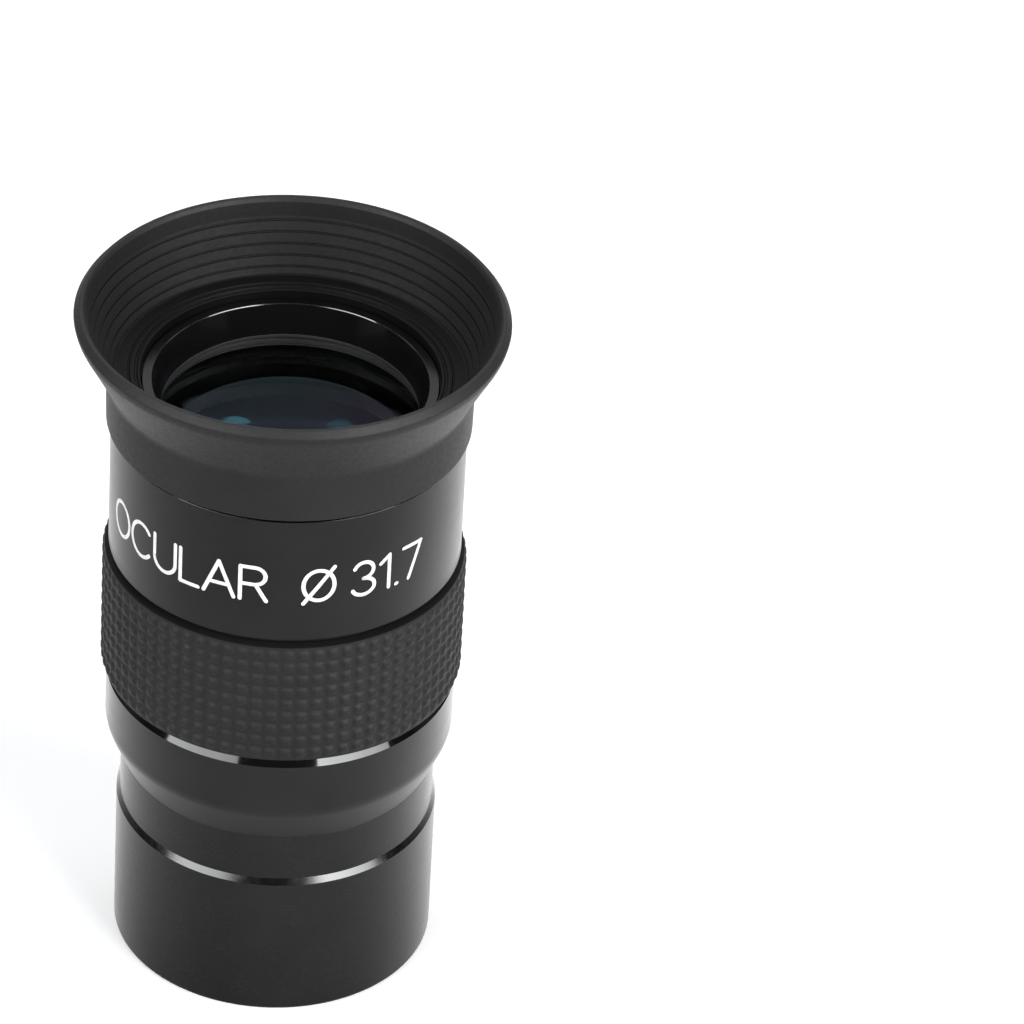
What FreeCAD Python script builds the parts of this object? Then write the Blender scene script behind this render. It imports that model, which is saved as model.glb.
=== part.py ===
# Telescope eyepiece for 31.7 mm (1.25 inch) focusers: nosepiece, housing, lens cell, optics and rubber.
#
# Frame: millimetres, +Z from the telescope end to the eye, origin at the centre of the nosepiece's
# bottom face. Every piece is a half section on the XZ plane, turned about Z. Threads are left plain.
import FreeCAD, Part
import math
import os
import Sketcher

doc = FreeCAD.newDocument("eyepiece")
V = FreeCAD.Vector

# ---------------------------------------------------------------- driving dimensions
# (alias, number) or (alias, sum of earlier aliases). "foot" and "top" are heights above the origin.
SIZES = [
    # shared by several pieces
    ("seam_gap", 0.02),                # between faces that meet when screwed together
    ("fit_gap", 0.05),                 # between a piece and its seat
    ("cut_overlap", 0.12),             # how far a groove's section starts outside the solid
    ("lens_radius", 13.00),
    # nosepiece: the barrel that goes into the focuser
    ("nose_radius", 15.85),
    ("nose_length", 15.55),            # top of the full-size land
    ("nose_edge", 0.35),               # broken edge at the bottom
    ("undercut_radius", 15.50),        # neck above the land
    ("undercut_foot", 16.22),          # where the land's chamfer meets the neck
    ("seam_height", 21.30),            # joint between nosepiece and housing
    ("filter_radius", 13.925),         # minor radius of the M28.5 x 0.6 filter thread
    ("filter_lead", 0.35),
    ("filter_depth", 4.60),
    ("filter_relief_radius", 14.35),
    ("filter_relief_top", 5.60),
    ("nose_bore_radius", 13.30),
    ("spigot_radius", 14.60),          # male thread that screws into the housing
    ("spigot_top", 25.00),
    ("spigot_edge", 0.30),
    # field stop: a loose ring on top of the spigot
    ("stop_outer_radius", 14.50),
    ("stop_aperture_radius", 10.90),
    ("stop_bevel_radius", 12.20),
    ("stop_foot", "spigot_top + seam_gap"),
    ("stop_thickness", 1.18),
    ("stop_top", "stop_foot + stop_thickness"),
    ("stop_knife_foot", 25.50),
    ("stop_knife_top", 25.62),
    # housing
    ("housing_foot", "seam_height + seam_gap"),
    ("socket_radius", "spigot_radius + fit_gap"),  # female thread for the nosepiece
    ("socket_top", "stop_top + seam_gap"),
    ("socket_lead", 0.20),
    ("collar_radius", 17.10),
    ("collar_foot", 25.20),
    ("collar_top", 30.98),
    ("shoulder_radius", 16.45),        # inner edge of the polished chamfer
    ("shoulder_top", 31.90),
    ("grip_seat_radius", 16.30),
    ("grip_seat_foot", 32.05),
    ("grip_seat_top", 46.06),
    ("barrel_radius", 17.09),
    ("barrel_foot", 46.28),
    ("barrel_edge", 0.12),
    ("barrel_chamfer", 0.28),          # bright-cut edge under the eyecup
    ("barrel_crown_top", 60.10),
    ("neck_radius", 15.60),            # stub that carries the eyecup
    ("neck_top", 64.00),
    ("neck_edge", 0.20),
    ("bead_groove_radius", 15.15),
    ("bead_groove_foot", 61.40),
    ("bead_groove_top", 62.50),
    ("cell_bore_radius", 14.25),
    ("cell_shelf", 39.15),
    ("throat_radius", 12.40),
    ("baffle_radius", 12.95),          # light-trap grooves in the throat
    ("baffle_foot", 28.20),
    ("baffle_width", 0.90),
    ("baffle_pitch", 1.80),
    ("baffle_count", 5),
    # grip ring
    ("grip_inner_radius", "grip_seat_radius + fit_gap"),
    ("grip_outer_radius", 17.75),
    ("grip_foot", 32.12),
    ("grip_top", 45.50),
    ("grip_edge", 0.25),
    # lens cell: tube that holds the optics, with a tapered mouth that ends in a lip
    ("cell_outer_radius", "cell_bore_radius - fit_gap"),
    ("cell_foot", "cell_shelf + fit_gap"),
    ("cell_top", 64.40),
    ("cell_edge", 0.12),
    ("cell_mouth_radius", 13.20),
    ("cell_lip_radius", 12.30),
    ("cell_lip_top", 61.45),
    ("cell_lip_foot", 61.04),
    ("cell_lens_radius", "lens_radius + fit_gap"),
    # seat ring between the lip and the eye lens
    ("seat_ring_outer_radius", 13.02),
    ("seat_ring_top_radius", 12.42),
    ("seat_ring_foot_radius", 12.78),
    ("seat_ring_top", 61.02),
    ("seat_ring_foot", 59.78),
    # optics: two doublets, crowns facing each other, flat outer faces
    ("cement_curve", 28.0),            # radius of curvature of the cemented faces
    ("crown_curve", 40.0),             # inner faces
    ("flint_centre", 2.00),            # thickness on the axis
    ("crown_centre", 6.60),            # crown and cement together, on the axis
    ("cement_gap", 0.03),
    ("air_gap", 0.60),
    # heights of the faces on the axis, from the eye down
    ("eye_face", 59.75),
    ("eye_cement", "eye_face - flint_centre"),
    ("eye_crown_top", "eye_cement - cement_gap"),
    ("eye_crown_foot", "eye_cement - crown_centre"),
    ("field_crown_top", "eye_crown_foot - air_gap"),
    ("field_cement", "field_crown_top - crown_centre"),
    ("field_crown_foot", "field_cement + cement_gap"),
    ("field_face", "field_cement - flint_centre"),
    # spacer around the doublets' inner faces
    ("spacer_outer_radius", "lens_radius"),
    ("spacer_inner_radius", 12.20),
    ("spacer_foot", 48.70),
    ("spacer_top", 53.00),
    # lock ring under the field lens, in the cell's foot
    ("lock_outer_radius", "lens_radius"),
    ("lock_throat_radius", 11.90),
    ("lock_bevel_radius", 12.40),
    ("lock_foot", 39.50),
    ("lock_bevel_top", 40.20),
    ("lock_top", 41.90),
    ("lock_slot_width", 1.20),         # two slots for a pin spanner
    ("lock_slot_depth", 0.80),
    # eyecup
    ("skirt_foot", 60.30),
    ("skirt_foot_radius", 17.53),
    ("skirt_top", 65.40),
    ("skirt_top_radius", 17.60),
    ("cup_inner_radius", 15.66),
    ("cup_ceiling", 64.08),
    ("cup_bead_radius", 15.25),
    ("cup_bead_foot", 61.55),
    ("cup_bead_top", 62.35),
    ("cup_eye_radius", 14.35),
    ("cup_floor", 65.35),
    ("cup_floor_radius", 16.80),
    ("flare_top", 71.25),
    ("flare_radius", 20.78),
    ("rim_side", 71.85),
    ("rim_side_radius", 20.70),
    ("rim_crest", 72.50),
    ("rim_crest_outer", 20.20),
    ("rim_crest_inner", 19.90),
    ("rim_inner", 72.15),
    ("rim_inner_radius", 19.60),
    ("band_foot", 70.18),
    ("band_foot_radius", 19.23),
    ("step_rise", 1.03),               # height of each moulded step inside the cup
    ("step_run", 0.47),                # how far each step comes in
    ("step_ledge", 0.18),
]
STEP_COUNT = 5                         # moulded steps inside the eyecup
LEAST_CUT = 0.5                        # mm3 that any cut must remove
MOST_SLOT_CUT = 10.0                   # mm3 that the spanner slots may remove

VALUE = {}                             # the sheet's numbers, by alias


def evaluate(text):
    """The value of a sum such as "a - b + 2*c", and its expression on the sheet."""
    total, sign, words = 0.0, 1.0, []
    for word in text.split():
        if word in ("+", "-"):
            sign = 1.0 if word == "+" else -1.0
            words.append(word)
        else:
            factor, _, name = word.rpartition("*")
            total += sign * float(factor or 1) * VALUE[name]
            words.append(word.replace(name, "Sizes." + name))
    return total, " ".join(words)


sheet = doc.addObject("Spreadsheet::Sheet", "Sizes")
for row, (alias, size) in enumerate(SIZES, start=1):
    derived = isinstance(size, str)
    sheet.set("A%d" % row, alias)
    sheet.set("B%d" % row, "=" + size if derived else str(size))
    sheet.setAlias("B%d" % row, alias)
    VALUE[alias] = evaluate(size)[0] if derived else float(size)
doc.recompute()


# ---------------------------------------------------------------- sketches and turning
def new_sketch(body, name, plane_role):
    """An empty sketch on one of the body's origin planes."""
    sketch = body.newObject("Sketcher::SketchObject", name)
    plane = next(item for item in body.Origin.OriginFeatures if item.Role == plane_role)
    sketch.AttachmentSupport = [(plane, "")]
    sketch.MapMode = "FlatFace"
    return sketch


def bind(sketch, name, expression, *constraint):
    """Adds a named dimension and binds it to the sheet."""
    index = sketch.addConstraint(Sketcher.Constraint(*constraint))
    sketch.renameConstraint(index, name)
    sketch.setExpression("Constraints." + name, expression)


def coordinate(entry):
    """The value of a corner's entry, and its expression: "" on an axis, None where it is left free."""
    if entry == "0":
        return 0.0, ""
    if isinstance(entry, float):
        return entry, None
    return evaluate(entry)


def section(body, name, corners):
    """A closed half section through corners (across, up), each a sum of aliases.

    "0" puts a corner on the axis. A float is a starting height that a curved face then sets.
    A third entry (centre height, radius alias) makes the edge that leaves the corner an arc
    centred on the vertical axis.
    """
    sketch = new_sketch(body, name, "XZ_Plane")
    points = [(coordinate(corner[0]), coordinate(corner[1]), corner[2] if len(corner) > 2 else None)
              for corner in corners]
    count = len(points)
    ends = []                          # each edge's start and end, as vertex numbers
    for i in range(count):
        (x0, _), (y0, _), arc = points[i]
        (x1, _), (y1, _), _ = points[(i + 1) % count]
        if arc is None:
            sketch.addGeometry(Part.LineSegment(V(x0, y0, 0), V(x1, y1, 0)), False)
            ends.append((1, 2))
            continue
        centre, curve = arc
        first = math.atan2(y0 - centre, x0)
        last = math.atan2(y1 - centre, x1)
        circle = Part.Circle(V(0, centre, 0), V(0, 0, 1), VALUE[curve])
        sketch.addGeometry(Part.ArcOfCircle(circle, min(first, last), max(first, last)), False)
        ends.append((1, 2) if first < last else (2, 1))
    for i in range(count):
        j = (i + 1) % count
        sketch.addConstraint(Sketcher.Constraint("Coincident", i, ends[i][1], j, ends[j][0]))
    for i, (across, up, arc) in enumerate(points):
        # -1 is the horizontal axis and -2 the vertical one
        for prefix, kind, axis, (value, expression) in (
                ("across", "DistanceX", -2, across), ("up", "DistanceY", -1, up)):
            if expression == "":
                sketch.addConstraint(Sketcher.Constraint("PointOnObject", i, ends[i][0], axis))
            elif expression is not None:
                bind(sketch, "%s_%d" % (prefix, i), expression, kind, -1, 1, i, ends[i][0], value)
        if arc is not None:
            sketch.addConstraint(Sketcher.Constraint("PointOnObject", i, 3, -2))
            bind(sketch, "curve_%d" % i, "Sizes." + arc[1], "Radius", i, VALUE[arc[1]])
    return sketch


def revolve(body, kind, name, sketch):
    """A Revolution or Groove of the sketch, full circle about its vertical axis."""
    doc.recompute()
    feature = body.newObject("PartDesign::" + kind, name)
    feature.Profile = sketch
    feature.ReferenceAxis = (sketch, ["V_Axis"])
    feature.Angle = 360.0
    sketch.Visibility = False
    doc.recompute()
    return feature


def turned(label, corners):
    """A body whose first feature is its half section revolved about Z."""
    body = doc.addObject("PartDesign::Body", label)
    body.Label = label
    revolve(body, "Revolution", label + "_turning", section(body, label + "_section", corners))
    return body


def require_cut(body, before, name, most=math.inf):
    """Stops on a cut of the wrong size: one that misses the solid leaves no message of its own."""
    if not LEAST_CUT < before - body.Shape.Volume < most:
        raise RuntimeError(name + " is not cut as expected")


def groove(body, name, side, floor, foot, top):
    """A square groove from the side radius to the floor radius, between two heights."""
    before = body.Shape.Volume
    corners = [(side, foot), (floor, foot), (floor, top), (side, top)]
    cut = revolve(body, "Groove", name, section(body, name + "_section", corners))
    require_cut(body, before, name)
    return cut


# ---------------------------------------------------------------- metal pieces
def make_nosepiece():
    body = turned("nosepiece", [
        ("filter_radius + filter_lead", "0"),
        ("nose_radius - nose_edge", "0"),
        ("nose_radius", "nose_edge"),
        ("nose_radius", "nose_length"),
        ("undercut_radius", "undercut_foot"),
        ("undercut_radius", "seam_height"),
        ("spigot_radius", "seam_height"),
        ("spigot_radius", "spigot_top - spigot_edge"),
        ("spigot_radius - spigot_edge", "spigot_top"),
        ("nose_bore_radius", "spigot_top"),
        ("nose_bore_radius", "filter_depth"),
        ("filter_radius", "filter_depth"),
        ("filter_radius", "filter_lead"),
    ])
    # run-out above the filter thread
    groove(body, "filter_runout", side="nose_bore_radius - cut_overlap",
           floor="filter_relief_radius", foot="filter_depth", top="filter_relief_top")


def make_field_stop():
    turned("field_stop_ring", [
        ("stop_bevel_radius", "stop_foot"),
        ("stop_outer_radius", "stop_foot"),
        ("stop_outer_radius", "stop_top"),
        ("stop_bevel_radius", "stop_top"),
        ("stop_aperture_radius", "stop_knife_top"),
        ("stop_aperture_radius", "stop_knife_foot"),
    ])


def make_housing():
    body = turned("housing", [
        ("socket_radius + socket_lead", "housing_foot"),
        ("undercut_radius", "housing_foot"),
        ("collar_radius", "collar_foot"),
        ("collar_radius", "collar_top"),
        ("shoulder_radius", "shoulder_top"),
        ("grip_seat_radius", "grip_seat_foot"),
        ("grip_seat_radius", "grip_seat_top"),
        ("barrel_radius - barrel_edge", "grip_seat_top"),
        ("barrel_radius", "barrel_foot"),
        ("barrel_radius", "barrel_crown_top - barrel_chamfer"),
        ("barrel_radius - barrel_chamfer", "barrel_crown_top"),
        ("neck_radius", "barrel_crown_top"),
        ("neck_radius", "neck_top - neck_edge"),
        ("neck_radius - neck_edge", "neck_top"),
        ("cell_bore_radius", "neck_top"),
        ("cell_bore_radius", "cell_shelf"),
        ("throat_radius", "cell_shelf"),
        ("throat_radius", "socket_top"),
        ("socket_radius", "socket_top"),
        ("socket_radius", "housing_foot + socket_lead"),
    ])
    # the eyecup's bead snaps into this one
    groove(body, "eyecup_bead_groove", side="neck_radius + cut_overlap",
           floor="bead_groove_radius", foot="bead_groove_foot", top="bead_groove_top")
    # light traps in the throat: one cut, repeated up the axis
    trap = groove(body, "light_trap", side="throat_radius - cut_overlap",
                  floor="baffle_radius", foot="baffle_foot", top="baffle_foot + baffle_width")
    before = body.Shape.Volume
    traps = body.newObject("PartDesign::LinearPattern", "light_traps")
    traps.Originals = [trap]
    traps.Direction = (trap.Profile[0], ["V_Axis"])
    traps.setExpression("Length", "Sizes.baffle_pitch * (Sizes.baffle_count - 1)")
    traps.setExpression("Occurrences", "Sizes.baffle_count")
    body.Tip = traps
    doc.recompute()
    require_cut(body, before, "light_traps")


def make_lens_cell():
    turned("lens_cell", [
        ("cell_lens_radius", "cell_foot"),
        ("cell_outer_radius", "cell_foot"),
        ("cell_outer_radius", "cell_top - cell_edge"),
        ("cell_outer_radius - cell_edge", "cell_top"),
        ("cell_mouth_radius + cell_edge", "cell_top"),
        ("cell_mouth_radius", "cell_top - cell_edge"),
        ("cell_lip_radius", "cell_lip_top"),
        ("cell_lip_radius", "cell_lip_foot"),
        ("cell_lens_radius", "cell_lip_foot"),
    ])


def make_eye_seat_ring():
    turned("eye_seat_ring", [
        ("seat_ring_foot_radius", "seat_ring_foot"),
        ("seat_ring_outer_radius", "seat_ring_foot"),
        ("seat_ring_outer_radius", "seat_ring_top"),
        ("seat_ring_top_radius", "seat_ring_top"),
    ])


def slot_section(body):
    """One rectangle across the whole ring, at the height of its lower face."""
    sketch = new_sketch(body, "spanner_slots_section", "XY_Plane")
    sketch.AttachmentOffset = FreeCAD.Placement(V(0, 0, VALUE["lock_foot"]), FreeCAD.Rotation())
    sketch.setExpression("AttachmentOffset.Base.z", "Sizes.lock_foot")
    reach, width = VALUE["lock_outer_radius"], VALUE["lock_slot_width"]
    corners = [V(x * reach, y * width / 2, 0) for x, y in ((-1, -1), (1, -1), (1, 1), (-1, 1))]
    for i in range(4):
        sketch.addGeometry(Part.LineSegment(corners[i], corners[(i + 1) % 4]), False)
    for i in range(4):
        sketch.addConstraint(Sketcher.Constraint("Coincident", i, 2, (i + 1) % 4, 1))
    for direction, sides in (("Horizontal", (0, 2)), ("Vertical", (1, 3))):
        for i in sides:
            sketch.addConstraint(Sketcher.Constraint(direction, i))
    sketch.addConstraint(Sketcher.Constraint("Symmetric", 0, 1, 1, 2, -1, 1))
    bind(sketch, "across", "2 * Sizes.lock_outer_radius", "DistanceX", 0, 1, 0, 2, 2 * reach)
    bind(sketch, "width", "Sizes.lock_slot_width", "DistanceY", 1, 1, 1, 2, width)
    return sketch


def make_field_lock_ring():
    body = turned("field_lock_ring", [
        ("lock_bevel_radius", "lock_foot"),
        ("lock_outer_radius", "lock_foot"),
        ("lock_outer_radius", "lock_top"),
        ("lock_throat_radius", "lock_top"),
        ("lock_throat_radius", "lock_bevel_top"),
    ])
    sketch = slot_section(body)
    doc.recompute()
    before = body.Shape.Volume
    slots = body.newObject("PartDesign::Pocket", "spanner_slots")
    slots.Profile = sketch
    slots.Reversed = True              # upwards, into the ring
    slots.setExpression("Length", "Sizes.lock_slot_depth")
    doc.recompute()
    require_cut(body, before, "spanner_slots", MOST_SLOT_CUT)


def make_lens_spacer():
    turned("lens_spacer", [
        ("spacer_inner_radius", "spacer_foot"),
        ("spacer_outer_radius", "spacer_foot"),
        ("spacer_outer_radius", "spacer_top"),
        ("spacer_inner_radius", "spacer_top"),
    ])


# ---------------------------------------------------------------- optics
UP, DOWN = 1, -1                       # which way a curved face bulges

# label, top face, lower face; a face is its height on the axis, then its curve and bulge if any
LENSES = [
    ("eye_flint", ("eye_face",), ("eye_cement", "cement_curve", UP)),
    ("eye_crown", ("eye_crown_top", "cement_curve", UP), ("eye_crown_foot", "crown_curve", DOWN)),
    ("field_crown", ("field_crown_top", "crown_curve", UP),
     ("field_crown_foot", "cement_curve", DOWN)),
    ("field_flint", ("field_cement", "cement_curve", DOWN), ("field_face",)),
]


def lens_face(vertex, curve=None, bulge=0):
    """A face's height at the rim, and the arc entry for its edge in the section."""
    if curve is None:
        return vertex, ()
    radius = VALUE[curve]
    centre = VALUE[vertex] - bulge * radius
    rim = centre + bulge * math.sqrt(radius ** 2 - VALUE["lens_radius"] ** 2)
    return rim, ((centre, curve),)


def make_lens(label, top, foot):
    """A lens with a plain ground edge."""
    foot_rim, foot_arc = lens_face(*foot)
    top_rim, top_arc = lens_face(*top)
    turned(label, [
        ("0", foot[0]) + foot_arc,
        ("lens_radius", foot_rim),
        ("lens_radius", top_rim) + top_arc,
        ("0", top[0]),
    ])


# ---------------------------------------------------------------- rubber pieces
def make_grip_ring():
    turned("grip_ring", [
        ("grip_inner_radius", "grip_foot"),
        ("grip_outer_radius - grip_edge", "grip_foot"),
        ("grip_outer_radius", "grip_foot + grip_edge"),
        ("grip_outer_radius", "grip_top - grip_edge"),
        ("grip_outer_radius - grip_edge", "grip_top"),
        ("grip_inner_radius", "grip_top"),
    ])


def make_eyecup():
    outside = [
        ("skirt_foot_radius", "skirt_foot"),
        ("skirt_top_radius", "skirt_top"),
        ("flare_radius", "flare_top"),
        ("rim_side_radius", "rim_side"),
        ("rim_crest_outer", "rim_crest"),
        ("rim_crest_inner", "rim_crest"),
        ("rim_inner_radius", "rim_inner"),
    ]
    # from the rim down, with a small ledge at the head of each step
    steps = []
    for step in range(STEP_COUNT):
        radius = "band_foot_radius - %d*step_run" % step
        height = "band_foot - %d*step_rise" % step
        steps += [(radius, height), (radius + " - step_ledge", height)]
    inside = [
        ("cup_floor_radius", "cup_floor"),
        ("cup_eye_radius", "cup_floor"),
        ("cup_eye_radius", "cup_ceiling"),
        ("cup_inner_radius", "cup_ceiling"),
        ("cup_inner_radius", "cup_bead_top"),
        ("cup_bead_radius", "cup_bead_top"),
        ("cup_bead_radius", "cup_bead_foot"),
        ("cup_inner_radius", "cup_bead_foot"),
        ("cup_inner_radius", "skirt_foot"),
    ]
    turned("eyecup", outside + steps + inside)


# ---------------------------------------------------------------- build, check and export
make_nosepiece()
make_field_stop()
make_housing()
make_grip_ring()
make_lens_cell()
make_eye_seat_ring()
make_field_lock_ring()
for lens in LENSES:
    make_lens(*lens)
make_lens_spacer()
make_eyecup()

doc.recompute()
for item in doc.Objects:
    if "Invalid" in item.State or "Error" in item.State:
        raise RuntimeError("%s failed: %s" % (item.Name, item.State))

bodies = [item for item in doc.Objects if item.TypeId == "PartDesign::Body"]
for body in bodies:
    shape = body.Shape
    if shape.isNull() or not shape.isValid() or len(shape.Solids) != 1:
        raise RuntimeError(body.Label + " is not one valid solid")

os.makedirs("parts", exist_ok=True)
for body in bodies:
    body.Shape.exportStep(os.path.join("parts", body.Label + ".step"))
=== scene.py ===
"""A black eyepiece standing upright on a pale floor, its nosepiece down and its rubber eyecup up.

The optical axis is Z, the floor is at z = 0 and the camera looks from -Y, from above. Outlines are
in mm as (distance from the axis, height); meshes and shader lengths are in metres.
"""
import math
import bmesh
import bpy
import numpy as np
from mathutils import Matrix, Vector


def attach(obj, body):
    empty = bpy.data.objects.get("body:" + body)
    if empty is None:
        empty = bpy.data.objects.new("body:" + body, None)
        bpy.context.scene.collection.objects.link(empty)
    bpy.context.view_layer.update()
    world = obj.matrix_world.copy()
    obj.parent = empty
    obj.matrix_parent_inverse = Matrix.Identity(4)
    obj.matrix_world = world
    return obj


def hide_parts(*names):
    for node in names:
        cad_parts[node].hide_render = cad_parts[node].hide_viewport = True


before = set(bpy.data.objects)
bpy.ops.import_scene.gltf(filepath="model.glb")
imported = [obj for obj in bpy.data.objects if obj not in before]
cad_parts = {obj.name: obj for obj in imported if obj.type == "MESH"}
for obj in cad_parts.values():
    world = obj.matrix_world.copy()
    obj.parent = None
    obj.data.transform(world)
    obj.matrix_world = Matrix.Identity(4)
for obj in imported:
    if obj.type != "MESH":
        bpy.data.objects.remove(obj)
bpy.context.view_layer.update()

MM = 0.001
TAU = 2 * math.pi

# Driving dimensions, in mm
JOINT_Z = 21.30         # top of the nosepiece's neck, where the housing begins
NECK_R = 15.50
JOINT_PITCH = 0.75      # thread between nosepiece and housing
RECESS_R = 16.30        # floor of the groove under the grip ring
CROWN_R = 17.09         # housing above the grip ring, which carries the marking
STOP_R = 12.20          # inner wall of the field stop ring and of the doublet spacer
LENS_R = 13.0
EYE_FACE_Z = 59.75      # flat outer face of the eye lens

scene = bpy.context.scene
scene.view_settings.view_transform = "Standard"


# ------------------------------------------------------------------ turned meshes
def rounded(corners):
    """Rounds a closed, counter-clockwise outline of (r, z, fillet, tag) corners. A tag goes to the
    edge that leaves its corner. Returns points, outward normals and one tag per edge."""
    points, normals, tags = [], [], []
    for i, (r, z, fillet, tag) in enumerate(corners):
        corner = np.array((r, z), float)
        edge_in = corner - np.array(corners[i - 1][:2], float)
        edge_out = np.array(corners[(i + 1) % len(corners)][:2], float) - corner
        len_in, len_out = np.hypot(*edge_in), np.hypot(*edge_out)
        edge_in, edge_out = edge_in / len_in, edge_out / len_out
        turn = math.atan2(edge_in[0] * edge_out[1] - edge_in[1] * edge_out[0],
                          float(edge_in @ edge_out))
        normal_in = np.array([edge_in[1], -edge_in[0]])
        normal_out = np.array([edge_out[1], -edge_out[0]])
        if abs(turn) < 1e-4 or fillet <= 0:
            both = normal_in + normal_out
            points.append(corner)
            normals.append(both / np.linalg.norm(both))
            tags.append(tag)
            continue
        half = abs(math.tan(turn / 2))
        setback = min(fillet * half, 0.46 * len_in, 0.46 * len_out)
        radius = setback / half
        steps = max(2, min(14, int(abs(turn) / math.radians(9)) + 1))
        if radius < 0.08:
            steps = min(steps, 4)
        side = 1 if turn > 0 else -1
        centre = corner - edge_in * setback - normal_in * radius * side
        for k in range(steps + 1):
            angle = turn * (k / steps)
            cos, sin = math.cos(angle), math.sin(angle)
            normal = np.array([normal_in[0] * cos - normal_in[1] * sin,
                               normal_in[0] * sin + normal_in[1] * cos])
            points.append(centre + normal * radius * side)
            normals.append(normal)
            tags.append(tag)
    return points, normals, tags


def cut_edges(points, normals, tags, relief_tags, step):
    """Cuts the edges that carry relief to pieces of about step mm. Also returns which points are
    new, since only those are moved."""
    new_points, new_normals, new_tags, moved = [], [], [], []
    for i, tag in enumerate(tags):
        j = (i + 1) % len(tags)
        hot = tag in relief_tags
        edge = points[j] - points[i]
        pieces = max(1, int(np.hypot(*edge) / step)) if hot else 1
        for k in range(pieces):
            new_points.append(points[i] + edge * k / pieces)
            new_normals.append(normals[i] if k == 0 else (normals[i] + normals[j]) / 2)
            new_tags.append(tag)
            moved.append(hot and k > 0)
    return new_points, new_normals, new_tags, moved


def new_mesh(name, verts, faces):
    mesh = bpy.data.meshes.new(name)
    mesh.from_pydata(verts, [], faces)
    mesh.update()
    return mesh


def add_object(name, data):
    obj = bpy.data.objects.new(name, data)
    scene.collection.objects.link(obj)
    return obj


def shade_smooth(mesh):
    mesh.polygons.foreach_set("use_smooth", [True] * len(mesh.polygons))


def lathe(name, corners, segments, relief=None, relief_tags=(), step=None):
    """Turns an outline into a closed mesh with exact normals; returns it and one tag per face.
    relief(r, z, angles) gives the new radii of the points on the edges in relief_tags."""
    points, normals, tags, moved = cut_edges(*rounded(corners), relief_tags, step)
    angles = np.arange(segments) * TAU / segments
    cos, sin = np.cos(angles), np.sin(angles)
    flat = np.ones(segments)
    verts, exact, rings = [], [], []
    total = 0
    for (r, z), (normal_r, normal_z), hot in zip(points, normals, moved):
        if r < 1e-7:        # a point on the axis is a single vertex
            verts.append([[0, 0, z]])
            exact.append([[0, 0, normal_z]])
        else:
            radii = relief(r, z, angles) if hot else r
            verts.append(np.stack([radii * cos, radii * sin, flat * z], 1))
            exact.append(np.stack([normal_r * cos, normal_r * sin, flat * normal_z], 1))
        rings.append((total, len(verts[-1])))
        total += len(verts[-1])
    faces, face_tags = [], []
    for i, tag in enumerate(tags):
        (low, low_count), (high, high_count) = rings[i], rings[(i + 1) % len(rings)]
        if low_count == 1 and high_count == 1:
            continue
        for s in range(segments):
            t = (s + 1) % segments
            if low_count == 1:
                faces.append((low, high + t, high + s))
            elif high_count == 1:
                faces.append((low + s, low + t, high))
            else:
                faces.append((low + s, low + t, high + t, high + s))
            face_tags.append(tag)
    mesh = new_mesh(name, (np.concatenate(verts) * MM).tolist(), faces)
    shade_smooth(mesh)
    exact = np.concatenate(exact)
    if any(moved):          # moved rings and their neighbours take the mesh's own normals
        found = np.zeros(total * 3, np.float32)
        mesh.vertex_normals.foreach_get("vector", found)
        found = found.reshape(-1, 3)
        for i, (first, count) in enumerate(rings):
            if moved[i] or moved[i - 1] or moved[(i + 1) % len(rings)]:
                exact[first:first + count] = found[first:first + count]
    exact /= np.linalg.norm(exact, axis=1, keepdims=True)
    mesh.normals_split_custom_set_from_vertices(exact.tolist())
    return add_object(name, mesh), face_tags


def place(obj, body, node=None):
    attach(obj, body)
    if node:
        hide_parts(node)


def turned(name, corners, segments, materials, body, slot, node, **relief):
    """Lathes a piece, gives each edge tag its material from the materials table and places it."""
    obj, tags = lathe(name, corners, segments, **relief)
    order = list(dict.fromkeys(materials.values()))
    for material in order:
        obj.data.materials.append(material)
    obj.data.polygons.foreach_set("material_index", [order.index(materials[tag]) for tag in tags])
    place(obj, body, node)


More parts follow.
